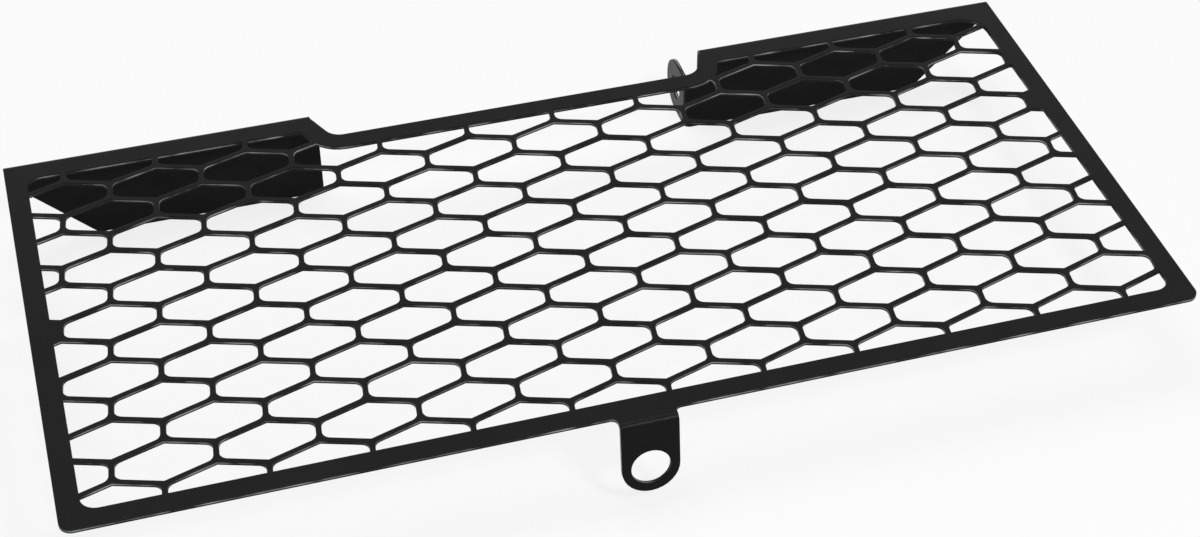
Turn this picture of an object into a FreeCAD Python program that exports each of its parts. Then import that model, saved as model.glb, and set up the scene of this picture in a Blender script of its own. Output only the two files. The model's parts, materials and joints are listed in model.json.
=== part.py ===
"""Radiator grille for a motorcycle: one laser-cut sheet, folded along the top and at two fixing lugs.

The flat panel carries a field of long hexagonal cells inside a plain border. The middle of its upper
edge is stepped down between two wings. Each wing folds back into a flange with a slanted outer corner.
A tab on the lower edge folds back the same way and ends in a round eye, and an ear with a smaller eye
turns outwards from the inner end of the right flange.

Frame: +X along the panel, +Y towards the wings, +Z out of the front face. The sheet stands on the lower
edges of its flanges, and the origin is the middle of its bounding box at that level. Millimetres.
"""
import FreeCAD
import Part
import Sketcher
import math
import os

doc = FreeCAD.newDocument("radiator_grille")

# Driving dimensions: name, millimetres, meaning
DIMENSIONS = (
    ("panel_width", 360.0, "panel from end to end"),
    ("panel_height", 176.5, "panel from its lower edge to the back of the flanges"),
    ("sheet_thickness", 1.5, "thickness of the sheet"),
    ("bend_radius", 1.0, "inner radius of every fold"),
    ("corner_radius", 4.0, "lower outer corners of the panel"),
    ("border", 7.0, "plain border round the cells"),
    ("window_radius", 5.0, "outer corners of the field of cells"),
    ("window_head_radius", 9.0, "its upper right corner"),
    ("step_depth", 14.8, "drop of the middle of the upper edge"),
    ("step_radius", 6.0, "hollow corner at the foot of each step"),
    ("left_step_head", 75.5, "left wing's inner corner, from the centre line"),
    ("left_step_foot", 69.8, "foot of the left step, from the centre line"),
    ("right_step_head", 66.9, "right wing's inner corner, from the centre line"),
    ("right_step_foot", 62.0, "foot of the right step, from the centre line"),
    ("flange_depth", 34.4, "front face of the panel to the flanges' lower edges"),
    ("flange_end_height", 4.0, "straight outer end of a flange below its fold"),
    ("flange_chamfer_run", 27.4, "slanted outer corner of a flange, along the panel"),
    ("left_flange_end", 73.0, "inner end of the left flange, from the centre line"),
    ("left_flange_relief", 6.0, "height over which the left flange widens to its inner end"),
    ("tab_offset", 5.8, "tab's centre line, to the left of the panel's"),
    ("tab_width", 18.6, "width of the tab"),
    ("tab_neck", 2.3, "panel's lower edge to the start of the tab's fold"),
    ("tab_root_radius", 2.0, "hollow corners where the tab leaves the panel"),
    ("tab_eye_reach", 15.5, "end of the tab's fold to the centre of its eye, along the tab"),
    ("tab_splay", 2.5, "how far the tab's tip stands out from square, as its fold is a little open"),
    ("tab_eye_diameter", 12.6, "eye of the tab"),
    ("ear_face", 62.2, "outer face of the ear, from the centre line"),
    ("ear_width", 21.0, "width of the ear, up from the flange's lower edge"),
    ("ear_reach", 20.8, "back of the flange to the tip of the ear"),
    ("ear_eye_diameter", 9.0, "eye of the ear"),
    ("cell_pitch", 30.6, "cell to cell along a row"),
    ("row_pitch", 13.26, "row to row"),
    ("row_lean", 1.58, "sideways lean of the pattern from row to row"),
    ("cell_side", 8.2, "height of a cell's upright side, between centre lines"),
    ("cell_corner_radius", 2.8, "hollow corners beside the upright strands"),
    ("upright_strand", 1.8, "width of the upright strands"),
    ("slanted_strand", 1.6, "width of the slanted strands"),
    ("pattern_x", -1.9, "middle cell's centre, along the panel from its centre"),
    ("pattern_y", -1.35, "middle cell's centre, across the panel from its centre"),
    ("smallest_opening", 25.0, "smaller cut-off cells stay closed, square millimetres"),
)
size = doc.addObject("Spreadsheet::Sheet", "size")
for row, (alias, length, meaning) in enumerate(DIMENSIONS, start=1):
    size.set(f"A{row}", meaning)
    size.set(f"B{row}", str(length))
    size.setAlias(f"B{row}", alias)
doc.recompute()

# Sizes that follow from the driving ones
OUTER_RADIUS = "(size.bend_radius + size.sheet_thickness)"
TAB_LEAN = "asin(size.tab_splay / (size.tab_eye_reach + size.tab_width / 2))"
TAB_OVERHANG = f"(size.tab_neck + {OUTER_RADIUS} * cos({TAB_LEAN}) + size.tab_splay)"
OVERALL_DEPTH = f"({TAB_OVERHANG} + size.panel_height + size.ear_reach)"
LOWER_EDGE = f"({TAB_OVERHANG} - {OVERALL_DEPTH} / 2)"
FLANGE_BACK = f"({LOWER_EDGE} + size.panel_height)"
WING_FOLD = f"({FLANGE_BACK} - {OUTER_RADIUS})"
STEP_EDGE = f"({FLANGE_BACK} - size.step_depth)"
PANEL_MIDDLE = f"({LOWER_EDGE} + size.panel_height / 2)"
FLANGE_TOP = f"(size.flange_depth - {OUTER_RADIUS})"
FLANGE_END_LOW = f"({FLANGE_TOP} - size.flange_end_height)"
PANEL_BACK = "(size.flange_depth - size.sheet_thickness)"
RIGHT_END = "(size.panel_width / 2)"
LEFT_END = f"(-{RIGHT_END})"
LEFT_HEAD = "(-size.left_step_head)"
LEFT_FOOT = "(-size.left_step_foot)"
TAB_LEFT = "(-size.tab_offset - size.tab_width / 2)"
TAB_RIGHT = "(-size.tab_offset + size.tab_width / 2)"
TAB_FOLD = f"({LOWER_EDGE} - size.tab_neck)"
EAR_FOLD = f"(size.ear_face + {OUTER_RADIUS})"
EAR_AXIS = f"({FLANGE_BACK} + size.bend_radius)"
EAR_EYE_Y = f"({FLANGE_BACK} + size.ear_reach - size.ear_width / 2)"


def number(expression):
    """The value in millimetres of an expression in the sheet's names."""
    value = size.evalExpression(expression)
    return float(getattr(value, "Value", value))


body = doc.addObject("PartDesign::Body", "folded_sheet")


def sketch_on(role, name, across="0", up="0", out="0"):
    """A sketch parallel to one of the body's origin planes, moved by three expressions."""
    sketch = body.newObject("Sketcher::SketchObject", name)
    origin_plane = next(item for item in body.Origin.OriginFeatures if item.Role == role)
    sketch.AttachmentSupport = [(origin_plane, "")]
    sketch.MapMode = "FlatFace"
    for axis, expression in (("x", across), ("y", up), ("z", out)):
        sketch.setExpression(f"AttachmentOffset.Base.{axis}", expression)
    return sketch


def dimension(sketch, kind, geometry, point, expression):
    """Ties one coordinate of a sketch point, measured from the sketch's origin, to an expression."""
    constraint = Sketcher.Constraint(kind, -1, 1, geometry, point, number(expression))
    index = sketch.addConstraint(constraint)
    sketch.setExpression(f"Constraints[{index}]", expression)


def add_outline(sketch, corners):
    """A closed outline of straight sides, with both coordinates of each corner dimensioned."""
    points = [FreeCAD.Vector(number(x), number(y), 0) for x, y in corners]
    count = len(points)
    for i in range(count):
        sketch.addGeometry(Part.LineSegment(points[i], points[(i + 1) % count]), False)
    for i in range(count):
        sketch.addConstraint(Sketcher.Constraint("Coincident", i, 2, (i + 1) % count, 1))
    for i, (x, y) in enumerate(corners):
        dimension(sketch, "DistanceX", i, 1, x)
        dimension(sketch, "DistanceY", i, 1, y)


def add_circle(sketch, x, y, diameter):
    """A circle with its centre and diameter dimensioned."""
    centre = FreeCAD.Vector(number(x), number(y), 0)
    radius = number(diameter) / 2
    circle = sketch.addGeometry(Part.Circle(centre, FreeCAD.Vector(0, 0, 1), radius), False)
    dimension(sketch, "DistanceX", circle, 3, x)
    dimension(sketch, "DistanceY", circle, 3, y)
    index = sketch.addConstraint(Sketcher.Constraint("Diameter", circle, number(diameter)))
    sketch.setExpression(f"Constraints[{index}]", diameter)


def pad(sketch, name):
    """One thickness of sheet on a sketch, along the sketch's own normal."""
    feature = body.newObject("PartDesign::Pad", name)
    feature.Profile = (sketch, [""])
    feature.setExpression("Length", "size.sheet_thickness")
    doc.recompute()
    return feature


def fold(sketch, name, axis, backwards, angle="90 deg"):
    """The sheet's section turned about the sketch's own axis, by a quarter unless told otherwise."""
    feature = body.newObject("PartDesign::Revolution", name)
    feature.Profile = (sketch, [""])
    feature.ReferenceAxis = (sketch, [axis])
    feature.setExpression("Angle", angle)
    feature.Reversed = backwards
    doc.recompute()
    return feature


def eye(sketch, name):
    """A round hole through one thickness of sheet, cut both ways from the sketch."""
    before = body.Shape.Volume
    feature = body.newObject("PartDesign::Pocket", name)
    feature.Profile = (sketch, [""])
    feature.Midplane = True
    feature.setExpression("Length", "4 * size.sheet_thickness")
    doc.recompute()
    if not body.Shape.Volume < before:
        raise RuntimeError(f"{name} cut nothing")
    return feature


def round_corners(base, name, spots, radius):
    """Rounds the panel's upright edges that stand at the given places."""
    places = [(number(x), number(y)) for x, y in spots]
    edges = []
    for index, edge in enumerate(base.Shape.Edges, start=1):
        low = edge.Vertexes[0].Point
        high = edge.Vertexes[-1].Point
        is_upright = math.hypot(low.x - high.x, low.y - high.y) < 1e-6
        if is_upright and any(math.hypot(low.x - x, low.y - y) < 1e-6 for x, y in places):
            edges.append(f"Edge{index}")
    feature = body.newObject("PartDesign::Fillet", name)
    feature.Base = (base, edges)
    feature.setExpression("Radius", radius)
    doc.recompute()
    return feature


# The flat panel, with the neck of the tab
panel_sketch = sketch_on("XY_Plane", "panel_outline", out=PANEL_BACK)
add_outline(panel_sketch, (
    (LEFT_END, LOWER_EDGE),
    (TAB_LEFT, LOWER_EDGE),
    (TAB_LEFT, TAB_FOLD),
    (TAB_RIGHT, TAB_FOLD),
    (TAB_RIGHT, LOWER_EDGE),
    (RIGHT_END, LOWER_EDGE),
    (RIGHT_END, WING_FOLD),
    ("size.right_step_head", WING_FOLD),
    ("size.right_step_foot", STEP_EDGE),
    (LEFT_FOOT, STEP_EDGE),
    (LEFT_HEAD, WING_FOLD),
    (LEFT_END, WING_FOLD),
))
panel = pad(panel_sketch, "panel")
lower_corners = ((LEFT_END, LOWER_EDGE), (RIGHT_END, LOWER_EDGE))
panel = round_corners(panel, "lower_corners", lower_corners, "size.corner_radius")
step_feet = ((LEFT_FOOT, STEP_EDGE), ("size.right_step_foot", STEP_EDGE))
panel = round_corners(panel, "step_feet", step_feet, "size.step_radius")
tab_roots = ((TAB_LEFT, LOWER_EDGE), (TAB_RIGHT, LOWER_EDGE))
panel = round_corners(panel, "tab_roots", tab_roots, "size.tab_root_radius")


def add_lengthwise_fold(name, start, end, fold_line, backwards, angle="90 deg"):
    """A fold along X: the panel's end section at the fold line, turned down about the fold's axis."""
    sketch = sketch_on("XZ_Plane", f"{name}_section", up=FLANGE_TOP, out=f"-{fold_line}")
    section = ((start, "size.bend_radius"), (end, "size.bend_radius"), (end, OUTER_RADIUS), (start, OUTER_RADIUS))
    add_outline(sketch, section)
    return fold(sketch, name, "H_Axis", backwards, angle)


# The two flanges, folded back from the wings
add_lengthwise_fold("left_wing_fold", LEFT_END, LEFT_HEAD, WING_FOLD, True)
left_flange_sketch = sketch_on("XZ_Plane", "left_flange_outline", out=f"-{FLANGE_BACK}")
add_outline(left_flange_sketch, (
    (LEFT_END, FLANGE_TOP),
    (LEFT_END, FLANGE_END_LOW),
    (f"{LEFT_END} + size.flange_chamfer_run", "0"),
    ("-size.left_flange_end", "0"),
    ("-size.left_flange_end", f"{FLANGE_TOP} - size.left_flange_relief"),
    (LEFT_HEAD, FLANGE_TOP),
))
pad(left_flange_sketch, "left_flange")

add_lengthwise_fold("right_wing_fold", "size.right_step_head", RIGHT_END, WING_FOLD, True)
right_flange_sketch = sketch_on("XZ_Plane", "right_flange_outline", out=f"-{FLANGE_BACK}")
add_outline(right_flange_sketch, (
    (RIGHT_END, FLANGE_TOP),
    (RIGHT_END, FLANGE_END_LOW),
    (f"{RIGHT_END} - size.flange_chamfer_run", "0"),
    (EAR_FOLD, "0"),
    (EAR_FOLD, "size.ear_width"),
    ("size.right_step_head", "size.ear_width"),
    ("size.right_step_head", FLANGE_TOP),
))
pad(right_flange_sketch, "right_flange")

# The ear, turned outwards from the right flange's inner end
ear_section = sketch_on("YZ_Plane", "ear_fold_section", across=EAR_AXIS, out=EAR_FOLD)
add_outline(ear_section, (
    (f"-{OUTER_RADIUS}", "0"),
    ("-size.bend_radius", "0"),
    ("-size.bend_radius", "size.ear_width"),
    (f"-{OUTER_RADIUS}", "size.ear_width"),
))
fold(ear_section, "ear_fold", "V_Axis", True)
ear_sketch = sketch_on("YZ_Plane", "ear_outline", out="size.ear_face")
add_outline(ear_sketch, (
    (EAR_AXIS, "0"),
    (EAR_EYE_Y, "0"),
    (EAR_EYE_Y, "size.ear_width"),
    (EAR_AXIS, "size.ear_width"),
))
pad(ear_sketch, "ear")
ear_end_sketch = sketch_on("YZ_Plane", "ear_end_outline", out="size.ear_face")
add_circle(ear_end_sketch, EAR_EYE_Y, "size.ear_width / 2", "size.ear_width")
pad(ear_end_sketch, "ear_end")
ear_eye_sketch = sketch_on("YZ_Plane", "ear_eye_outline", out="size.ear_face")
add_circle(ear_eye_sketch, EAR_EYE_Y, "size.ear_width / 2", "size.ear_eye_diameter")
eye(ear_eye_sketch, "ear_eye")

# The tab, folded back from its neck a little short of square
add_lengthwise_fold("tab_fold", TAB_LEFT, TAB_RIGHT, TAB_FOLD, False, f"90 deg - {TAB_LEAN}")


def tab_sketch_at(name, radius):
    """A sketch in the leaning tab's plane at a distance from its fold's axis, level with that axis."""
    up = f"{FLANGE_TOP} + {radius} * sin({TAB_LEAN})"
    out = f"{radius} * cos({TAB_LEAN}) - {TAB_FOLD}"
    sketch = sketch_on("XZ_Plane", name, up=up, out=out)
    lean_axis = FreeCAD.Vector(-1, 0, 0)
    sketch.AttachmentOffset = FreeCAD.Placement(FreeCAD.Vector(), FreeCAD.Rotation(lean_axis, number(TAB_LEAN)))
    sketch.setExpression("AttachmentOffset.Rotation.Angle", TAB_LEAN)
    return sketch


tab_sketch = tab_sketch_at("tab_outline", "size.bend_radius")
add_outline(tab_sketch, (
    (TAB_LEFT, "-size.tab_eye_reach"),
    (TAB_RIGHT, "-size.tab_eye_reach"),
    (TAB_RIGHT, "0"),
    (TAB_LEFT, "0"),
))
pad(tab_sketch, "tab")
tab_end_sketch = tab_sketch_at("tab_end_outline", "size.bend_radius")
add_circle(tab_end_sketch, "-size.tab_offset", "-size.tab_eye_reach", "size.tab_width")
pad(tab_end_sketch, "tab_end")
tab_eye_sketch = tab_sketch_at("tab_eye_outline", OUTER_RADIUS)
add_circle(tab_eye_sketch, "-size.tab_offset", "-size.tab_eye_reach", "size.tab_eye_diameter")
eye(tab_eye_sketch, "tab_eye")


def inset(corners, margins):
    """Corners of a counter-clockwise outline with side i, from corner i to the next, moved in by margin i."""
    count = len(corners)
    lines = []
    for i, (x, y) in enumerate(corners):
        next_x, next_y = corners[(i + 1) % count]
        length = math.hypot(next_x - x, next_y - y)
        along = ((next_x - x) / length, (next_y - y) / length)
        lines.append((x - along[1] * margins[i], y + along[0] * margins[i], along))
    moved = []
    for i in range(count):
        x, y, along = lines[i - 1]
        other_x, other_y, other = lines[i]
        turn = along[0] * other[1] - along[1] * other[0]
        distance = ((other_x - x) * other[1] - (other_y - y) * other[0]) / turn
        moved.append((x + along[0] * distance, y + along[1] * distance))
    return moved


def rounded_face(corners, radii, height, in_flats):
    """A flat face with each corner rounded to its own radius, by an arc or by two flats, or sharp at 0."""
    count = len(corners)
    points = [FreeCAD.Vector(x, y, height) for x, y in corners]
    starts = []
    ends = []
    middles = []
    for i in range(count):
        to_last = (points[i - 1] - points[i]).normalize()
        to_next = (points[(i + 1) % count] - points[i]).normalize()
        half_angle = to_last.getAngle(to_next) / 2
        setback = radii[i] / math.tan(half_angle)
        bisector = (to_last + to_next).normalize()
        starts.append(points[i] + to_last * setback)
        ends.append(points[i] + to_next * setback)
        middles.append(points[i] + bisector * (radii[i] / math.sin(half_angle) - radii[i]))
    edges = []
    for i in range(count):
        if radii[i] > 0 and in_flats:
            edges.append(Part.LineSegment(starts[i], middles[i]).toShape())
            edges.append(Part.LineSegment(middles[i], ends[i]).toShape())
        elif radii[i] > 0:
            edges.append(Part.Arc(starts[i], middles[i], ends[i]).toShape())
        edges.append(Part.LineSegment(ends[i], starts[(i + 1) % count]).toShape())
    return Part.Face(Part.Wire(edges))


def window_face(height):
    """The field of cells: the panel's outline moved in by the border, with rounded corners."""
    outline = [(number(x), number(y)) for x, y in (
        (LEFT_END, LOWER_EDGE),
        (RIGHT_END, LOWER_EDGE),
        (RIGHT_END, WING_FOLD),
        ("size.right_step_head", WING_FOLD),
        ("size.right_step_foot", STEP_EDGE),
        (LEFT_FOOT, STEP_EDGE),
        (LEFT_HEAD, WING_FOLD),
        (LEFT_END, WING_FOLD),
    )]
    border = number("size.border")
    corner = number("size.window_radius")
    head = number("size.window_head_radius")
    step = number("size.step_radius") + border
    radii = (corner, corner, head, 0, step, step, 0, corner)
    return rounded_face(inset(outline, [border] * len(outline)), radii, height, in_flats=False)


def cell_face(x, y, height):
    """One cell: a leaning hexagon on the strands' centre lines, moved in by half of each strand."""
    half_pitch = number("size.cell_pitch") / 2
    half_side = number("size.cell_side") / 2
    peak = number("size.row_pitch") - half_side
    lean = number("size.row_lean / size.row_pitch")
    centre_lines = [(x + across + lean * up, y + up) for across, up in (
        (half_pitch, -half_side),
        (half_pitch, half_side),
        (0, peak),
        (-half_pitch, half_side),
        (-half_pitch, -half_side),
        (0, -peak),
    )]
    upright = number("size.upright_strand") / 2
    slanted = number("size.slanted_strand") / 2
    radius = number("size.cell_corner_radius")
    corners = inset(centre_lines, (upright, slanted, slanted, upright, slanted, slanted))
    return rounded_face(corners, (radius, radius, 0, radius, radius, 0), height, in_flats=True)


def open_cells():
    """Prisms through the panel for all cells inside the window, cut off at the border."""
    thickness = number("size.sheet_thickness")
    base = number(PANEL_BACK) - thickness
    window = window_face(base)
    box = window.BoundBox
    middle_x = number("size.pattern_x")
    middle_y = number(f"{PANEL_MIDDLE} + size.pattern_y")
    pitch = number("size.cell_pitch")
    row_pitch = number("size.row_pitch")
    sideways = number("size.cell_pitch / 2 + size.row_lean")
    least = number("size.smallest_opening")
    first_row = math.floor((box.YMin - middle_y) / row_pitch)
    last_row = math.ceil((box.YMax - middle_y) / row_pitch)
    prisms = []
    for row_index in range(first_row, last_row + 1):
        row_x = middle_x + row_index * sideways
        row_y = middle_y + row_index * row_pitch
        first_cell = math.floor((box.XMin - row_x) / pitch)
        last_cell = math.ceil((box.XMax - row_x) / pitch)
        for cell_index in range(first_cell, last_cell + 1):
            cell = cell_face(row_x + cell_index * pitch, row_y, base)
            for opening in cell.common(window).Faces:
                if opening.Area >= least:
                    prisms.append(opening.extrude(FreeCAD.Vector(0, 0, 3 * thickness)))
    return prisms


cells = doc.addObject("Part::Feature", "cell_openings")
prisms = open_cells()
cells.Shape = Part.makeCompound(prisms)
print(len(prisms), "cells cut")

grille = doc.addObject("Part::Cut", "radiator_grille")
grille.Base = body
grille.Tool = cells
grille.Label = "radiator_grille"
grille.Placement = FreeCAD.Placement()
doc.recompute()

# Every object has to be sound before anything is written
for item in doc.Objects:
    if "Invalid" in item.State or "Error" in item.State:
        raise RuntimeError(f"{item.Name} failed: {item.State}")
if grille.Shape.isNull() or not grille.Shape.isValid() or len(grille.Shape.Solids) != 1:
    raise RuntimeError("the grille is not one sound solid")
os.makedirs("parts", exist_ok=True)
grille.Shape.exportStep(f"parts/{grille.Label}.step")
bounds = grille.Shape.BoundBox
print("radiator_grille", round(bounds.XLength, 2), round(bounds.YLength, 2), round(bounds.ZLength, 2))
print("volume", round(grille.Shape.Volume, 1), "faces", len(grille.Shape.Faces))
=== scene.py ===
# %% [markdown]
# # A folded radiator grille
# The grille is one sheet of metal: a laser cuts its outline and its field of long hexagonal cells, a press
# folds two flanges, a tab and an ear, and a black powder coat covers it all. This script follows the same
# order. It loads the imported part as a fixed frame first, because every place below is measured from it.

import json
import math

import bpy
import numpy as np
from mathutils import Matrix, Vector
from mathutils.geometry import delaunay_2d_cdt


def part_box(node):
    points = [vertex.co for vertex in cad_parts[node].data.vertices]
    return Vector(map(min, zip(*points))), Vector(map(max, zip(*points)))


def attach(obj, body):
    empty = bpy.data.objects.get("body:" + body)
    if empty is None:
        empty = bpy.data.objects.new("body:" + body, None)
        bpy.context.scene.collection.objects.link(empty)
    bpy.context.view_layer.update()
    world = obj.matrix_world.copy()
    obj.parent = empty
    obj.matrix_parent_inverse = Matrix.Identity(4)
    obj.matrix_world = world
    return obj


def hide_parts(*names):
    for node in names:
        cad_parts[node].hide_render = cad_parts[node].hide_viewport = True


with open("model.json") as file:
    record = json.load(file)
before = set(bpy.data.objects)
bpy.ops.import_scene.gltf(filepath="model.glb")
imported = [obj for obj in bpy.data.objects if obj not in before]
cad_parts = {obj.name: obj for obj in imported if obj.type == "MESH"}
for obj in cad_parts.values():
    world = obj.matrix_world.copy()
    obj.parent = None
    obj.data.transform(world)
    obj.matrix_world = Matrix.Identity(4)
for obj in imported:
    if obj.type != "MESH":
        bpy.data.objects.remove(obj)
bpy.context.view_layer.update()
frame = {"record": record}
NODE = "radiator_grille"

# %% [markdown]
# ## The sheet's main lines
# Lengths are metres, as in the frame. The overall sizes, the sheet's thickness and both eyes are read from
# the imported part, and a size that it doesn't state is written where it is first needed. All of them could
# be measured on the solid's mesh instead, but a named value says what its length is for. A few lines of the
# sheet come first, because the camera and every outline start from them.

# %% Thickness, folds and edges of the sheet
MM = 0.001
mounts = {mount["name"]: mount for mount in frame["record"]["mounts"]}
low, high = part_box(NODE)
half_width = high.x
front = high.z
sheet_thickness = mounts["tab_eye"]["dims"]["length_mm"] * MM
bend_radius = 1.0 * MM
outer_radius = bend_radius + sheet_thickness

tab_width = 18.6 * MM
tab_neck = 2.3 * MM
tab_eye_reach = 15.5 * MM
tab_splay = 2.5 * MM
ear_reach = 20.8 * MM

tab_lean = math.asin(tab_splay / (tab_eye_reach + tab_width / 2))
lower_edge = low.y + tab_splay + outer_radius * math.cos(tab_lean) + tab_neck
flange_back = high.y - ear_reach
wing_fold = flange_back - outer_radius
panel_middle = (lower_edge + flange_back) / 2
print("sheet", sheet_thickness, "lower edge", lower_edge, "wing fold", wing_fold)

# %% [markdown]
# ## Camera
# The photograph looks down on the grille from the lower left. The regular cells fix that view: their rows
# give two directions of the panel, and with the right angle between them the lens follows. The picture was
# cropped off centre, so the camera has a small sideways shift, which keeps the two ends of the panel as
# tall as they look. It stands to the left of the panel's middle, before it and above its face.

# %% The camera, at the photograph's angle
PHOTO_WIDTH = 1200
LENS_PIXELS = 2360.0
AXIS_PIXEL_X = 680.0
SENSOR_WIDTH = 36.0
CLOSEST_SEEN = 0.01
eye_left = 0.1566
eye_before = 0.5793
eye_above = 0.4953
azimuth = math.radians(18.13)
elevation = math.radians(40.48)
roll = math.radians(1.10)


def new_object(name, data):
    """An object of the scene that shows this data."""
    made = bpy.data.objects.new(name, data)
    bpy.context.scene.collection.objects.link(made)
    return made


camera_data = bpy.data.cameras.new("photo_camera")
camera_data.sensor_width = SENSOR_WIDTH
camera_data.lens = LENS_PIXELS / PHOTO_WIDTH * SENSOR_WIDTH
camera_data.shift_x = (PHOTO_WIDTH / 2 - AXIS_PIXEL_X) / PHOTO_WIDTH
camera_data.clip_start = CLOSEST_SEEN
camera = new_object("photo_camera", camera_data)
eye_point = Vector((-eye_left, panel_middle - eye_before, front + eye_above))
turn = Matrix.Rotation(-azimuth, 4, "Z") @ Matrix.Rotation(math.pi / 2 - elevation, 4, "X")
camera.matrix_world = Matrix.Translation(eye_point) @ turn @ Matrix.Rotation(roll, 4, "Z")
bpy.context.scene.camera = camera
print("lens", round(camera_data.lens, 1), "mm, shift", round(camera_data.shift_x, 3))

# %% [markdown]
# ## The window of the cells
# A plain border runs round the cells, so the field of cells has an outline of its own: the panel's outline,
# moved in by the border. Rounded corners are needed for this outline and for the sheet's, so one helper
# puts a tangent arc of its own radius at each corner of a polygon, and another moves each side in by its
# own margin.

# %% Helpers for flat outlines
ARC_STEP = math.radians(12)
LEAST_STEPS = 2


def rounded(corners):
    """Points of a polygon given as (x, y, radius), with a tangent arc at each corner of some radius."""
    points = []
    count = len(corners)
    for i, (x, y, radius) in enumerate(corners):
        here = Vector((x, y))
        if radius == 0:
            points.append(here)
            continue
        to_last = (Vector(corners[i - 1][:2]) - here).normalized()
        to_next = (Vector(corners[(i + 1) % count][:2]) - here).normalized()
        half_angle = to_last.angle(to_next) / 2
        bisector = (to_last + to_next).normalized()
        centre = here + bisector * (radius / math.sin(half_angle))
        first = here + to_last * (radius / math.tan(half_angle)) - centre
        swing = math.pi - 2 * half_angle
        if first.x * bisector.y - first.y * bisector.x > 0:
            swing = -swing
        steps = max(LEAST_STEPS, math.ceil(abs(swing) / ARC_STEP))
        for k in range(steps + 1):
            points.append(centre + Matrix.Rotation(swing * k / steps, 2) @ first)
    return points


def inset(corners, margins):
    """Corners of a counter-clockwise polygon whose side i, from corner i on, moves in by margin i."""
    moved = []
    count = len(corners)
    for i in range(count):
        here = Vector(corners[i])
        along = (here - Vector(corners[i - 1])).normalized()
        ahead = (Vector(corners[(i + 1) % count]) - here).normalized()
        turn_here = along.x * ahead.y - along.y * ahead.x
        moved.append(here + (ahead * margins[i - 1] - along * margins[i]) * (1 / turn_here))
    return moved


def prism_object(name, points, bottom, top):
    """A closed prism on a counter-clockwise outline."""
    count = len(points)
    vertices = [(p.x, p.y, bottom) for p in points] + [(p.x, p.y, top) for p in points]
    faces = [tuple(reversed(range(count))), tuple(range(count, 2 * count))]
    faces += [(i, (i + 1) % count, count + (i + 1) % count, count + i) for i in range(count)]
    mesh = bpy.data.meshes.new(name)
    mesh.from_pydata(vertices, [], faces)
    mesh.update()
    return new_object(name, mesh)


print("arcs in steps of up to", round(math.degrees(ARC_STEP)), "degrees")

# %% The window, as a thick plate
border = 7.0 * MM
window_radius = 5.0 * MM
window_head_radius = 9.0 * MM
step_depth = 14.8 * MM
step_radius = 6.0 * MM
left_step_head = 75.5 * MM
left_step_foot = 69.8 * MM
right_step_head = 66.9 * MM
right_step_foot = 62.0 * MM
step_edge = flange_back - step_depth
step_hollow = step_radius + border
panel_corners = (
    (-half_width, lower_edge),
    (half_width, lower_edge),
    (half_width, wing_fold),
    (right_step_head, wing_fold),
    (right_step_foot, step_edge),
    (-left_step_foot, step_edge),
    (-left_step_head, wing_fold),
    (-half_width, wing_fold),
)
lower_radii = (window_radius, window_radius)
upper_radii = (window_head_radius, 0, step_hollow, step_hollow, 0, window_radius)
window_sides = inset(panel_corners, [border] * len(panel_corners))
window_outline = rounded([(p.x, p.y, radius) for p, radius in zip(window_sides, lower_radii + upper_radii)])
window_plate = prism_object("window_plate", window_outline, -2 * sheet_thickness, 2 * sheet_thickness)
print("window plate with", len(window_outline), "outline points")

# %% [markdown]
# ## The punch
# One cell is a long hexagon that leans a little. Its sides lie half a strand inside the lines on which the
# strands run, and its corners beside the upright strands are well rounded. A modeller could draw all the
# cells by hand, but they differ only in place, so one punch is made here and the next step strikes it all
# over the panel.

# %% One cell as a punch
cell_pitch = 30.6 * MM
row_pitch = 13.26 * MM
row_lean = 1.58 * MM
cell_side = 8.2 * MM
cell_corner_radius = 2.8 * MM
cell_peak_radius = 0.5 * MM
upright_strand = 1.8 * MM
slanted_strand = 1.6 * MM
cell_peak = row_pitch - cell_side / 2
strand_lines = [(across + row_lean / row_pitch * up, up) for across, up in (
    (cell_pitch / 2, -cell_side / 2),
    (cell_pitch / 2, cell_side / 2),
    (0, cell_peak),
    (-cell_pitch / 2, cell_side / 2),
    (-cell_pitch / 2, -cell_side / 2),
    (0, -cell_peak),
)]
half_strands = [width / 2 for width in (upright_strand, slanted_strand, slanted_strand) * 2]
cell_radii = (cell_corner_radius, cell_corner_radius, cell_peak_radius) * 2
cell_corners = [(p.x, p.y, radius) for p, radius in zip(inset(strand_lines, half_strands), cell_radii)]
punch = prism_object("punch", rounded(cell_corners), -sheet_thickness, sheet_thickness)
print("punch", [round(length / MM, 1) for length in punch.dimensions], "mm")

# %% [markdown]
# ## Striking the cells with Geometry Nodes
# The nodes place the punch on a lattice of rows, each shifted by half a cell and a little lean, keep what
# lies inside the window and drop the slivers that the real sheet leaves closed. What comes out is one flat
# face for each opening: the slugs that fall out of the sheet. Arrays could repeat the punch too, but the
# lattice's formula stays readable in nodes, and its sizes are named inputs.

# %% Helpers for nodes, and an empty tree with named inputs
def add_node(tree, kind, inputs=(), **settings):
    """A node with its properties set and its sockets filled by values or by links from other sockets."""
    node = tree.nodes.new(kind)
    for key, value in settings.items():
        setattr(node, key, value)
    for socket, value in dict(inputs).items():
        if isinstance(value, bpy.types.NodeSocket):
            tree.links.new(value, node.inputs[socket])
        else:
            node.inputs[socket].default_value = value
    return node


def math_node(tree, operation, *values):
    """The result of one calculation on numbers or sockets."""
    return add_node(tree, "ShaderNodeMath", dict(enumerate(values)), operation=operation).outputs[0]


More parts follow.
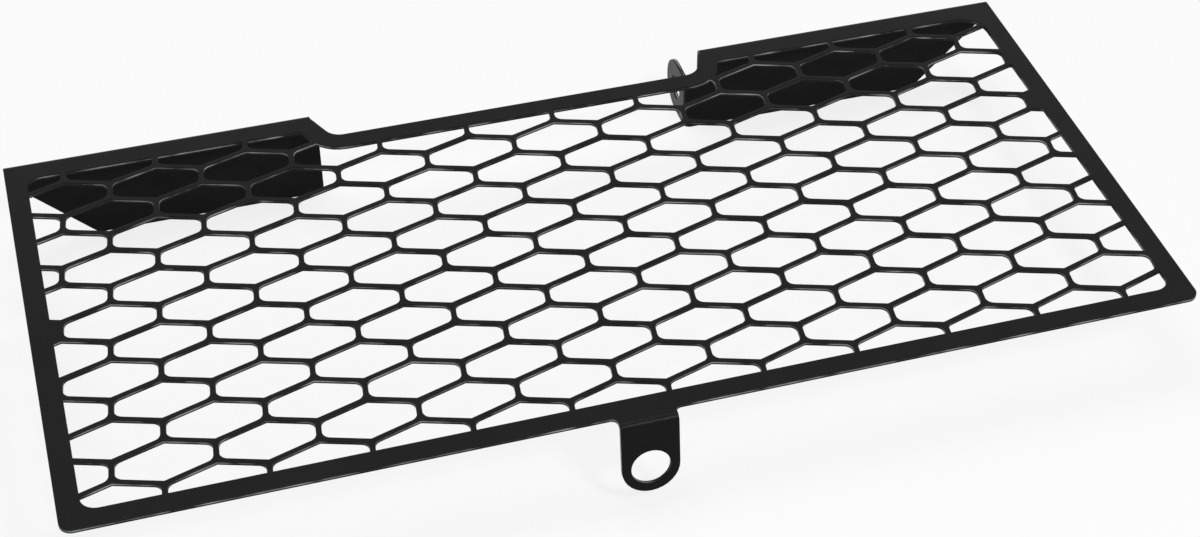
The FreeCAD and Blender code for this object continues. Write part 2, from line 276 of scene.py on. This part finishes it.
strike_tree = bpy.data.node_groups.new("strike_cells", "GeometryNodeTree")
for name, kind in (
    ("Punch", "Geometry"),
    ("Window", "Object"),
    ("Rows", "Int"),
    ("Cells in Row", "Int"),
    ("Cell Pitch", "Float"),
    ("Row Pitch", "Float"),
    ("Row Lean", "Float"),
    ("Pattern X", "Float"),
    ("Pattern Y", "Float"),
    ("Smallest Opening", "Float"),
    ("Finish", "Material"),
):
    strike_tree.interface.new_socket(name, in_out="INPUT", socket_type=f"NodeSocket{kind}")
strike_tree.interface.new_socket("Slugs", in_out="OUTPUT", socket_type="NodeSocketGeometry")
print("tree with", len(strike_tree.interface.items_tree), "sockets")


# %% Places of the strikes
def halved_down(tree, value):
    """Half of a whole number, rounded down."""
    return math_node(tree, "FLOOR", math_node(tree, "DIVIDE", value, 2.0))


def strike_places(tree, given):
    """A point for each strike: rows counted from the middle, each shifted sideways within one pitch."""
    index = tree.nodes.new("GeometryNodeInputIndex").outputs[0]
    in_row = given["Cells in Row"]
    row = math_node(tree, "FLOOR", math_node(tree, "DIVIDE", index, in_row))
    row = math_node(tree, "SUBTRACT", row, halved_down(tree, given["Rows"]))
    column = math_node(tree, "MODULO", index, in_row)
    column = math_node(tree, "SUBTRACT", column, halved_down(tree, in_row))
    half_pitch = math_node(tree, "DIVIDE", given["Cell Pitch"], 2.0)
    minus_half = math_node(tree, "MULTIPLY", half_pitch, -1.0)
    shift = math_node(tree, "MULTIPLY", row, math_node(tree, "ADD", half_pitch, given["Row Lean"]))
    shift = math_node(tree, "WRAP", shift, half_pitch, minus_half)
    across = math_node(tree, "MULTIPLY_ADD", column, given["Cell Pitch"], given["Pattern X"])
    across = math_node(tree, "ADD", across, shift)
    up = math_node(tree, "MULTIPLY_ADD", row, given["Row Pitch"], given["Pattern Y"])
    place = add_node(tree, "ShaderNodeCombineXYZ", {"X": across, "Y": up}).outputs[0]
    strikes = math_node(tree, "MULTIPLY", given["Rows"], in_row)
    return add_node(tree, "GeometryNodePoints", {"Count": strikes, "Position": place}).outputs[0]


tree_inputs = strike_tree.nodes.new("NodeGroupInput").outputs
strike_points = strike_places(strike_tree, tree_inputs)
print("places made by", len(strike_tree.nodes), "nodes")

# %% Strikes cut off at the window
FACING_UP = 0.5


def struck_tops(tree, given, points):
    """The upper faces of all strikes inside the window, without the slivers."""
    struck = add_node(tree, "GeometryNodeInstanceOnPoints", {"Points": points, "Instance": given["Punch"]})
    solid = add_node(tree, "GeometryNodeRealizeInstances", {"Geometry": struck.outputs[0]})
    window = add_node(tree, "GeometryNodeObjectInfo", {"Object": given["Window"]})
    trim = add_node(tree, "GeometryNodeMeshBoolean", operation="INTERSECT", solver="EXACT")
    tree.links.new(solid.outputs[0], trim.inputs["Mesh 2"])
    tree.links.new(window.outputs["Geometry"], trim.inputs["Mesh 2"])

    normal = tree.nodes.new("GeometryNodeInputNormal").outputs[0]
    upward = add_node(tree, "ShaderNodeSeparateXYZ", {0: normal}).outputs["Z"]
    faces_up = math_node(tree, "GREATER_THAN", upward, FACING_UP)
    upper = {"Geometry": trim.outputs["Mesh"], "Selection": faces_up}
    tops = add_node(tree, "GeometryNodeSeparateGeometry", upper, domain="FACE").outputs[0]

    area = tree.nodes.new("GeometryNodeInputMeshFaceArea").outputs[0]
    island = tree.nodes.new("GeometryNodeInputMeshIsland").outputs["Island Index"]
    areas = {"Value": area, "Group ID": island}
    whole = add_node(tree, "GeometryNodeAccumulateField", areas, data_type="FLOAT", domain="FACE")
    too_small = math_node(tree, "LESS_THAN", whole.outputs["Total"], given["Smallest Opening"])
    slivers = {"Geometry": tops, "Selection": too_small}
    return add_node(tree, "GeometryNodeDeleteGeometry", slivers, domain="FACE").outputs[0]


kept_tops = struck_tops(strike_tree, tree_inputs, strike_points)
print("cells cut off by", len(strike_tree.nodes), "nodes")

# %% One face for each opening
# A rim's edges have one face beside them, and all other edges have two.
RIM_BELOW = 1.5


def slug_faces(tree, given, tops):
    """One many-sided face on the rim of each opening, as a plain mesh with its finish."""
    sides = tree.nodes.new("GeometryNodeInputMeshEdgeNeighbors").outputs["Face Count"]
    rim = math_node(tree, "LESS_THAN", sides, RIM_BELOW)
    outline = add_node(tree, "GeometryNodeMeshToCurve", {"Mesh": tops, "Selection": rim}).outputs[0]
    filled = add_node(tree, "GeometryNodeFillCurve", {"Curve": outline}, mode="NGONS").outputs[0]
    plain = add_node(tree, "GeometryNodeRealizeInstances", {"Geometry": filled}).outputs[0]
    coated = {"Geometry": plain, "Material": given["Finish"]}
    return add_node(tree, "GeometryNodeSetMaterial", coated).outputs[0]


slugs_out = strike_tree.nodes.new("NodeGroupOutput").inputs[0]
strike_tree.links.new(slug_faces(strike_tree, tree_inputs, kept_tops), slugs_out)
print("whole tree of", len(strike_tree.nodes), "nodes")

# %% Strike the cells
pattern_x = -1.9 * MM
pattern_y = -1.35 * MM
smallest_opening = 25.0 * MM * MM
ROWS = 15
CELLS_IN_ROW = 15
powder_coat = bpy.data.materials.new("satin_black_powder_coat")
strike = punch.modifiers.new("strike_cells", "NODES")
strike.node_group = strike_tree
identifiers = {socket.name: socket.identifier for socket in strike_tree.interface.items_tree}
for name, value in (
    ("Window", window_plate),
    ("Rows", ROWS),
    ("Cells in Row", CELLS_IN_ROW),
    ("Cell Pitch", cell_pitch),
    ("Row Pitch", row_pitch),
    ("Row Lean", row_lean),
    ("Pattern X", pattern_x),
    ("Pattern Y", panel_middle + pattern_y),
    ("Smallest Opening", smallest_opening),
    ("Finish", powder_coat),
):
    strike[identifiers[name]] = value
depsgraph = bpy.context.evaluated_depsgraph_get()
slugs = bpy.data.meshes.new_from_object(punch.evaluated_get(depsgraph))
openings = [[slugs.vertices[i].co.xy for i in face.vertices] for face in slugs.polygons]
print(len(openings), "openings struck,", len(slugs.vertices), "points")
for tool in (punch, window_plate):
    bpy.data.objects.remove(tool)

# %% [markdown]
# ## The flat sheet
# Before it is folded, the sheet is a flat blank: the panel, the two flanges above it, the ear at the end of
# the right flange and the tab below. A fold uses up as much flat length as the middle of the sheet takes
# round the bend. Every edge that crosses a fold gets points at equal steps there, so that the fold later
# comes out round.

# %% Folds on the blank
BEND_STEPS = 6
SQUARE = math.pi / 2
tab_turn = SQUARE - tab_lean
middle_radius = bend_radius + sheet_thickness / 2
bend_length = SQUARE * middle_radius
tab_bend_length = tab_turn * middle_radius
bend_parts = [bend_length * k / BEND_STEPS for k in range(BEND_STEPS + 1)]
tab_bend_parts = [tab_bend_length * k / BEND_STEPS for k in range(BEND_STEPS + 1)]

ear_eye_x, ear_eye_y, ear_eye_z = mounts["ear_eye"]["pos_m"]
ear_fold = ear_eye_x - sheet_thickness / 2 + outer_radius
ear_width = 2 * ear_eye_z
flange_top = front - outer_radius
tab_fold = lower_edge - tab_neck


def flange_line(height):
    """The line on the blank that ends up at this height of the flanges."""
    return wing_fold + bend_length + flange_top - height


def ear_line(y):
    """The line on the blank that ends up at this distance along the ear."""
    return ear_fold - bend_length - (y - flange_back - bend_radius)


print("flat lengths of the folds", round(bend_length / MM, 2), round(tab_bend_length / MM, 2), "mm")

# %% The blank's outline
corner_radius = 4.0 * MM
small_radius = 0.8 * MM
tab_root_radius = 2.0 * MM
flange_end_height = 4.0 * MM
flange_chamfer_run = 27.4 * MM
left_flange_end = 73.0 * MM
left_flange_relief = 6.0 * MM

tab_eye_x = mounts["tab_eye"]["pos_m"][0]
tab_left = tab_eye_x - tab_width / 2
tab_right = tab_eye_x + tab_width / 2
tab_eye_line = tab_fold - tab_bend_length - tab_eye_reach
tab_tip = tab_eye_line - tab_width / 2
flange_foot = flange_line(0)
flange_end_line = flange_line(flange_top - flange_end_height)
relief_line = flange_line(flange_top - left_flange_relief)
ear_top = flange_line(ear_width)
ear_tip = ear_line(high.y)
blank = rounded(
    [(-half_width, lower_edge, corner_radius)]
    + [(tab_left, lower_edge, tab_root_radius)]
    + [(tab_left, tab_fold - part, 0) for part in tab_bend_parts]
    + [(tab_left, tab_tip, tab_width / 2), (tab_right, tab_tip, tab_width / 2)]
    + [(tab_right, tab_fold - part, 0) for part in reversed(tab_bend_parts)]
    + [(tab_right, lower_edge, tab_root_radius)]
    + [(half_width, lower_edge, corner_radius)]
    + [(half_width, wing_fold + part, 0) for part in bend_parts]
    + [(half_width, flange_end_line, small_radius)]
    + [(half_width - flange_chamfer_run, flange_foot, small_radius)]
    + [(ear_fold - part, flange_foot, 0) for part in bend_parts]
    + [(ear_tip, flange_foot, ear_width / 2), (ear_tip, ear_top, ear_width / 2)]
    + [(ear_fold - part, ear_top, 0) for part in reversed(bend_parts)]
    + [(right_step_head, ear_top, small_radius)]
    + [(right_step_head, wing_fold + part, 0) for part in reversed(bend_parts)]
    + [(right_step_foot, step_edge, step_radius)]
    + [(-left_step_foot, step_edge, step_radius)]
    + [(-left_step_head, wing_fold + part, 0) for part in bend_parts]
    + [(-left_flange_end, relief_line, small_radius)]
    + [(-left_flange_end, flange_foot, small_radius)]
    + [(flange_chamfer_run - half_width, flange_foot, small_radius)]
    + [(-half_width, flange_end_line, small_radius)]
    + [(-half_width, wing_fold + part, 0) for part in reversed(bend_parts)]
)
print("blank of", len(blank), "points")

# %% The two eyes, and all outlines together
EYE_POINTS = 40
tab_eye_radius = mounts["tab_eye"]["dims"]["r_mm"] * MM
ear_eye_radius = mounts["ear_eye"]["dims"]["r_mm"] * MM


def circle(x, y, radius):
    """Points of a circle, counter-clockwise."""
    turns = [2 * math.pi * k / EYE_POINTS for k in range(EYE_POINTS)]
    return [Vector((x + radius * math.cos(a), y + radius * math.sin(a))) for a in turns]


eyes = [
    circle(tab_eye_x, tab_eye_line, tab_eye_radius),
    circle(ear_line(ear_eye_y), flange_line(ear_eye_z), ear_eye_radius),
]
loops = [blank] + [list(reversed(hole)) for hole in openings + eyes]
print("one outline with", len(loops) - 1, "holes")

# %% [markdown]
# ## Cut edges
# Laser-cut edges are eased before coating, because paint pulls away from a sharp edge. A bevel modifier
# would round the edges, but here each outline is swept with its own small profile: a quarter round at the
# front, the cut wall and a quarter round at the back. The way in at each point is the middle of the two
# sides that meet there. A fine pale band along the middle of some cut walls is a painted highlight, with a
# faint grey on the rounds beside it: it stands in for light caught by the cut walls. So each ring of the
# profile also says how much painted highlight it carries, from nought for none to one for the most.

# %% The profile of a cut edge: turn, depth and share of the painted highlight
EDGE_EASE = 0.20 * MM
ROUND_STEPS = 3
# Painted highlight: the share of pale grey on the eased rounds and, strongest, in a band along the middle
# of the cut wall.
EDGE_HIGHLIGHT = 0.03
BAND_HIGHLIGHT = 1.0
HIGHLIGHT_RINGS = ((0.35 * MM, EDGE_HIGHLIGHT), (0.52 * MM, BAND_HIGHLIGHT), (0.75 * MM, BAND_HIGHLIGHT), (0.95 * MM, EDGE_HIGHLIGHT))
quarter = [SQUARE * k / ROUND_STEPS for k in range(ROUND_STEPS + 1)]
front_round = [(a, EDGE_EASE * (math.cos(a) - 1), EDGE_HIGHLIGHT * math.sin(a)) for a in quarter]
cut_wall = [(SQUARE, -depth, highlight_share) for depth, highlight_share in HIGHLIGHT_RINGS]
back_round = [(math.pi - a, -sheet_thickness - depth, highlight_share) for a, depth, highlight_share in reversed(front_round)]
profile = front_round + cut_wall + back_round
print("profile of", len(profile), "rings")

# %% A rim round every outline
SAME_POINT = 0.01 * MM


def without_repeats(loop):
    """The loop's points as an array, without points that lie on the one before."""
    points = np.array([tuple(p) for p in loop])
    steps = np.linalg.norm(points - np.roll(points, 1, axis=0), axis=1)
    return points[steps > SAME_POINT]


def ways_in(points):
    """For each point of a loop, the step into the metal that moves both its sides in by one."""
    ahead = np.roll(points, -1, axis=0) - points
    ahead /= np.linalg.norm(ahead, axis=1)[:, None]
    left_ahead = np.stack([-ahead[:, 1], ahead[:, 0]], axis=1)
    left_behind = np.roll(left_ahead, 1, axis=0)
    both = left_ahead + left_behind
    return both / (1 + np.sum(left_ahead * left_behind, axis=1))[:, None]


flat_points = []
flat_normals = []
highlight_per_point = []
side_faces = []
front_loops = []
first_free = 0
for loop in loops:
    points = without_repeats(loop)
    inward = ways_in(points)
    outward = -inward / np.linalg.norm(inward, axis=1)[:, None]
    count = len(points)
    # Each ring carries its share of the painted highlight.
    for turned, depth, highlight_share in profile:
        moved = points + inward * (EDGE_EASE * (1 - math.sin(turned)))
        flat_points.append(np.column_stack([moved, np.full(count, depth)]))
        flat_normals.append(np.column_stack([outward * math.sin(turned), np.full(count, math.cos(turned))]))
        highlight_per_point.append(np.full(count, highlight_share))
    here = np.arange(count)
    after = np.roll(here, -1)
    for ring in range(len(profile) - 1):
        upper = first_free + ring * count
        lower = upper + count
        side_faces.append(np.column_stack([upper + here, lower + here, lower + after, upper + after]))
    front_loops.append(first_free + here)
    first_free += len(profile) * count
flat_points = np.concatenate(flat_points)
flat_normals = np.concatenate(flat_normals)
highlight_per_point = np.concatenate(highlight_per_point)
side_faces = np.concatenate(side_faces)
print(len(flat_points), "points and", len(side_faces), "faces in the rims")

# %% [markdown]
# ## The faces between the rims
# What is left is the flat metal between the rims, on the front and on the back. A constrained triangulation
# fills it: it must keep every rim, and it must also keep the lines on which the folds turn, so that no
# triangle lies across a bend. A triangle with all its corners on one rim may lie in a hole, so those are
# tested.

# %% Lines on which the folds turn
ON_THE_LINE = 0.06 * MM


def fold_line_pairs():
    """Pairs of outline points that a fold's lines join, from one edge of the sheet to the other."""
    outline = front_loops[0]
    x, y = flat_points[outline, 0], flat_points[outline, 1]
    pairs = []
    for part, tab_part in zip(bend_parts, tab_bend_parts):
        wings = np.flatnonzero(np.abs(y - wing_fold - part) < ON_THE_LINE)
        wings = wings[np.argsort(x[wings])]
        pairs += [(wings[0], wings[1]), (wings[2], wings[3])]
        tab = np.flatnonzero(np.abs(y - tab_fold + tab_part) < ON_THE_LINE)
        pairs.append((tab[0], tab[1]))
        ear = np.flatnonzero((np.abs(x - ear_fold + part) < ON_THE_LINE) & (y > wing_fold))
        pairs.append((ear[0], ear[1]))
    return [(int(outline[a]), int(outline[b])) for a, b in pairs]


fold_lines = fold_line_pairs()
print(len(fold_lines), "fold lines")

# %% Filled faces
# Output type 0 fills everything up to the hull of the points with triangles.
HULL_TRIANGLES = 0
MERGED_MM = 1e-6


def inside(point, corners):
    """Whether a point lies inside a closed outline."""
    x, y = point
    ax, ay = corners[:, 0], corners[:, 1]
    bx, by = np.roll(ax, -1), np.roll(ay, -1)
    crossed = (ay > y) != (by > y)
    rise = np.where(crossed, by - ay, 1.0)
    return bool(np.count_nonzero(crossed & (x < ax + (y - ay) * (bx - ax) / rise)) % 2)


def filled_faces():
    """Triangles of the front face between the rims, as points of the front rings."""
    ring_points = np.concatenate(front_loops)
    owner = np.concatenate([np.full(len(ring), i) for i, ring in enumerate(front_loops)])
    position = {int(point): i for i, point in enumerate(ring_points)}
    edges = []
    for ring in front_loops:
        edges += [(position[int(a)], position[int(b)]) for a, b in zip(ring, np.roll(ring, -1))]
    edges += [(position[a], position[b]) for a, b in fold_lines]
    places = [Vector((x / MM, y / MM)) for x, y in flat_points[ring_points, :2]]
    made, _, faces, origins, _, _ = delaunay_2d_cdt(places, edges, [], HULL_TRIANGLES, MERGED_MM)
    kept = []
    for face in faces:
        corners = [origins[i][0] for i in face]
        owners = {int(owner[i]) for i in corners}
        if len(owners) == 1:
            loop = owners.pop()
            middle = np.mean([flat_points[ring_points[i], :2] for i in corners], axis=0)
            if inside(middle, flat_points[front_loops[loop], :2]) != (loop == 0):
                continue
        kept.append([int(ring_points[i]) for i in corners])
    print(len(made) - len(places), "points added,", len(kept), "of", len(faces), "triangles kept")
    return kept


front_faces = filled_faces()
to_back = np.zeros(len(flat_points), dtype=int)
for ring in front_loops:
    to_back[ring] = ring + (len(profile) - 1) * len(ring)
back_faces = [[int(to_back[i]) for i in reversed(face)] for face in front_faces]

# %% [markdown]
# ## Folding
# A press brake folds the sheet: the ear first, while the flange is still flat, then both flanges, then the
# tab. The same order works on the points. Each fold takes the distance past its line, turns that length
# round the bend and carries on straight, and it turns the normals with it, so the finished sheet is shaded
# exactly.

# %% Fold the ear, the flanges and the tab
TOWARDS_FACE = 1
AWAY_FROM_FACE = -1


def fold(past, height, past_normal, height_normal, side, angle=SQUARE):
    """Points and normals turned through an angle where they lie past the fold's line."""
    reach = bend_radius if side == TOWARDS_FACE else outer_radius
    length = angle * middle_radius
    turned = np.clip(past / length, 0, 1) * angle
    cosine, sine = np.cos(turned), np.sin(turned)
    radius = reach - side * height
    beyond = np.maximum(past - length, 0)
    return (
        radius * sine + beyond * cosine + np.minimum(past, 0),
        side * (reach - radius * cosine + beyond * sine),
        past_normal * cosine - side * height_normal * sine,
        side * past_normal * sine + height_normal * cosine,
    )


x, y, height = flat_points.T.copy()
normal_x, normal_y, normal_up = flat_normals.T.copy()
on_ear = (x > 0) & (x < ear_fold) & (y > wing_fold + bend_length)
past, height[on_ear], past_normal, normal_up[on_ear] = fold(
    ear_fold - x[on_ear], height[on_ear], -normal_x[on_ear], normal_up[on_ear], TOWARDS_FACE)
x[on_ear] = ear_fold - past
normal_x[on_ear] = -past_normal
past, height, normal_y, normal_up = fold(y - wing_fold, height, normal_y, normal_up, AWAY_FROM_FACE)
y = wing_fold + past
past, height, past_normal, normal_up = fold(
    tab_fold - y, height, -normal_y, normal_up, AWAY_FROM_FACE, tab_turn)
y = tab_fold - past
normal_y = -past_normal
sheet_points = np.column_stack([x, y, front + height])
sheet_normals = np.column_stack([normal_x, normal_y, normal_up])
print("folded box", sheet_points.min(axis=0).round(5), sheet_points.max(axis=0).round(5))

# %% [markdown]
# ## The finished sheet
# The points and faces become one closed mesh, which stands for the imported solid. Its shading normals are
# known exactly from the profile and the folds, so they are stored on the mesh instead of being averaged
# from the faces. How much painted highlight each point along the cut edges carries is stored too, because
# the finish paints it from that.

# %% The sheet as a piece of the frame
sheet_mesh = bpy.data.meshes.new("grille_sheet")
sheet_mesh.from_pydata(sheet_points.tolist(), [], side_faces.tolist() + front_faces + back_faces)
sheet_mesh.update()
sheet_mesh.polygons.foreach_set("use_smooth", [True] * len(sheet_mesh.polygons))
sheet_mesh.normals_split_custom_set_from_vertices(sheet_normals.tolist())
# Each point's share of the painted highlight, which the coat reads.
painted_highlight_mask = sheet_mesh.attributes.new("painted_highlight_mask", "FLOAT", "POINT")
painted_highlight_mask.data.foreach_set("value", highlight_per_point.astype(np.float32))
sheet_mesh.materials.append(powder_coat)
grille_sheet = new_object("grille_sheet", sheet_mesh)
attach(grille_sheet, "root")
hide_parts(NODE)
sheet_mesh.calc_loop_triangles()
print("sheet of", len(sheet_mesh.loop_triangles), "triangles")

# %% [markdown]
# ## Powder coat
# Satin black powder coat is a thick baked film. Close up it has a fine orange peel. Along the cut edges a
# painted highlight greys the black and the coat is smoother, more in some places than in others. A flat
# black would look like a hole, so noise at the scale of the peel drives the bump and, with a slower noise,
# the roughness and the depth of the black. A third noise makes the painted highlight along the edges
# patchy.

# %% Scales and colours of the coat
PEEL_SIZE = 0.8 * MM
PEEL_DEPTH = 0.10 * MM
PEEL_STRENGTH = 0.50
PATCH_SIZE = 12 * MM
PATCH_START = 0.44
PATCH_FULL = 0.66
PATCH_LEAST = 0.06
CLOUD_SIZE = 22 * MM
PEEL_SHARE = 0.6
BLACK_RANGE = (0.3, 0.7)
DEEP_BLACK = (0.0070, 0.0072, 0.0074, 1)
GREYED_BLACK = (0.0112, 0.0114, 0.0116, 1)
# The pale grey that is painted along the cut walls as a highlight.
PAINTED_HIGHLIGHT_GREY = (0.55, 0.55, 0.555, 1)
SMOOTHEST = 0.22
ROUGHNESS_RANGE = 0.16
SMOOTHER_EDGE = 0.08
REFLECTION = 0.06


def noise(tree, place, size, detail=2.0, roughness=0.5):
    """Noise whose grains are about as large as the size."""
    inputs = {"Vector": place, "Scale": 1 / size, "Detail": detail, "Roughness": roughness}
    return add_node(tree, "ShaderNodeTexNoise", inputs).outputs["Fac"]


print("peel of", PEEL_SIZE / MM, "mm, patches of", PATCH_SIZE / MM, "mm, clouds of", CLOUD_SIZE / MM, "mm")


# %% The coat's nodes
def coat_nodes(material):
    """Satin black with orange peel, uneven depth and a painted highlight along the cut edges."""
    material.use_nodes = True
    tree = material.node_tree
    tree.nodes.clear()
    place = tree.nodes.new("ShaderNodeTexCoord").outputs["Object"]
    # The painted highlight along the cut edges, made patchy by a noise; the coat is also made smoother
    # there.
    highlight_share = add_node(tree, "ShaderNodeAttribute", attribute_name="painted_highlight_mask").outputs["Fac"]
    highlight_patches = add_node(tree, "ShaderNodeMapRange", {
        "Value": noise(tree, place, PATCH_SIZE),
        "From Min": PATCH_START,
        "From Max": PATCH_FULL,
        "To Min": PATCH_LEAST,
    })
    highlight_mix = math_node(tree, "MULTIPLY", highlight_share, highlight_patches.outputs[0])
    peel = noise(tree, place, PEEL_SIZE, detail=3.0, roughness=0.55)
    cloud = math_node(tree, "MULTIPLY", noise(tree, place, CLOUD_SIZE), 1 - PEEL_SHARE)
    grain = math_node(tree, "MULTIPLY_ADD", peel, PEEL_SHARE, cloud)

    black = add_node(tree, "ShaderNodeValToRGB", {"Fac": grain})
    for stop, position, colour in zip(black.color_ramp.elements, BLACK_RANGE, (DEEP_BLACK, GREYED_BLACK)):
        stop.position = position
        stop.color = colour
    # Mix the painted highlight's grey into the black.
    with_highlight = {"Fac": highlight_mix, "Color1": black.outputs[0], "Color2": PAINTED_HIGHLIGHT_GREY}
    colour = add_node(tree, "ShaderNodeMixRGB", with_highlight).outputs[0]
    roughness = math_node(tree, "MULTIPLY_ADD", grain, ROUGHNESS_RANGE, SMOOTHEST)
    roughness = math_node(tree, "SUBTRACT", roughness, math_node(tree, "MULTIPLY", highlight_mix, SMOOTHER_EDGE))
    relief = {"Strength": PEEL_STRENGTH, "Distance": PEEL_DEPTH, "Height": peel}
    coat = add_node(tree, "ShaderNodeBsdfPrincipled", {
        "Base Color": colour,
        "Roughness": roughness,
        "Normal": add_node(tree, "ShaderNodeBump", relief).outputs[0],
        "Specular IOR Level": REFLECTION,
    })
    surface = tree.nodes.new("ShaderNodeOutputMaterial")
    tree.links.new(coat.outputs[0], surface.inputs["Surface"])


coat_nodes(powder_coat)
print("powder coat of", len(powder_coat.node_tree.nodes), "nodes")

# %% [markdown]
# ## Floor and light
# The photograph shows the grille on plain white. A pale floor gives the same ground and keeps a soft
# shadow: to the eye and in reflections most of its white is its own glow, and the rest is lit, so the
# shadow stays. The light is a wide softbox above, a small one in front, which draws a line along the tab's
# fold, and an even pale room, at a level where a colour renders about as it is written.

# %% The floor
FLOOR_SIZE = 6.0
LIT_TONE = 0.62
SEEN_TONE = 0.92
GLOW_SHARE = 0.80
WHITE = (1.0, 1.0, 1.0, 1)


def seen_ray(tree):
    """One for a ray that shows the surroundings, also in a reflection, and nought for one that lights."""
    rays = tree.nodes.new("ShaderNodeLightPath").outputs
    mirrored = math_node(tree, "MAXIMUM", rays["Is Glossy Ray"], rays["Is Transmission Ray"])
    return math_node(tree, "MAXIMUM", rays["Is Camera Ray"], mirrored)


def floor_nodes(material):
    """A matt pale floor that glows white to the rays that show it."""
    material.use_nodes = True
    tree = material.node_tree
    tree.nodes.clear()
    seen = seen_ray(tree)
    tone = math_node(tree, "MULTIPLY_ADD", seen, SEEN_TONE - LIT_TONE, LIT_TONE)
    matt = add_node(tree, "ShaderNodeBsdfDiffuse", {"Color": tone})
    glow = add_node(tree, "ShaderNodeEmission", {"Color": WHITE, "Strength": 1.0})
    share = math_node(tree, "MULTIPLY", seen, GLOW_SHARE)
    both = add_node(tree, "ShaderNodeMixShader", {0: share, 1: matt.outputs[0], 2: glow.outputs[0]})
    surface = tree.nodes.new("ShaderNodeOutputMaterial")
    tree.links.new(both.outputs[0], surface.inputs["Surface"])


far = FLOOR_SIZE / 2
floor_corners = [(-far, -far, 0), (far, -far, 0), (far, far, 0), (-far, far, 0)]
floor_mesh = bpy.data.meshes.new("floor")
floor_mesh.from_pydata(floor_corners, [], [(0, 1, 2, 3)])
floor_mesh.materials.append(bpy.data.materials.new("pale_floor"))
floor_nodes(floor_mesh.materials[0])
new_object("floor", floor_mesh)
print("floor of", FLOOR_SIZE, "m")

# %% The room and the softboxes
ROOM_LIGHT = 0.20
world = bpy.data.worlds.new("pale_room")
bpy.context.scene.world = world
world.use_nodes = True
room = world.node_tree.nodes["Background"]
room.inputs["Color"].default_value = WHITE
room_level = math_node(world.node_tree, "MAXIMUM", seen_ray(world.node_tree), ROOM_LIGHT)
world.node_tree.links.new(room_level, room.inputs["Strength"])


def softbox(name, place, size, power):
    """A square area lamp that looks at the origin."""
    lamp_data = bpy.data.lights.new(name, "AREA")
    lamp_data.shape = "SQUARE"
    lamp_data.size = size
    lamp_data.energy = power
    facing = (-Vector(place)).to_track_quat("-Z", "Y").to_matrix().to_4x4()
    new_object(name, lamp_data).matrix_world = Matrix.Translation(place) @ facing


softbox("softbox_above", place=(-0.2, 0.25, 1.8), size=1.2, power=19.0)
softbox("softbox_front", place=(0.31, -0.84, 0.94), size=0.2, power=5.2)
bpy.context.scene.view_settings.view_transform = "Standard"
print("room of", ROOM_LIGHT, "and two softboxes set")
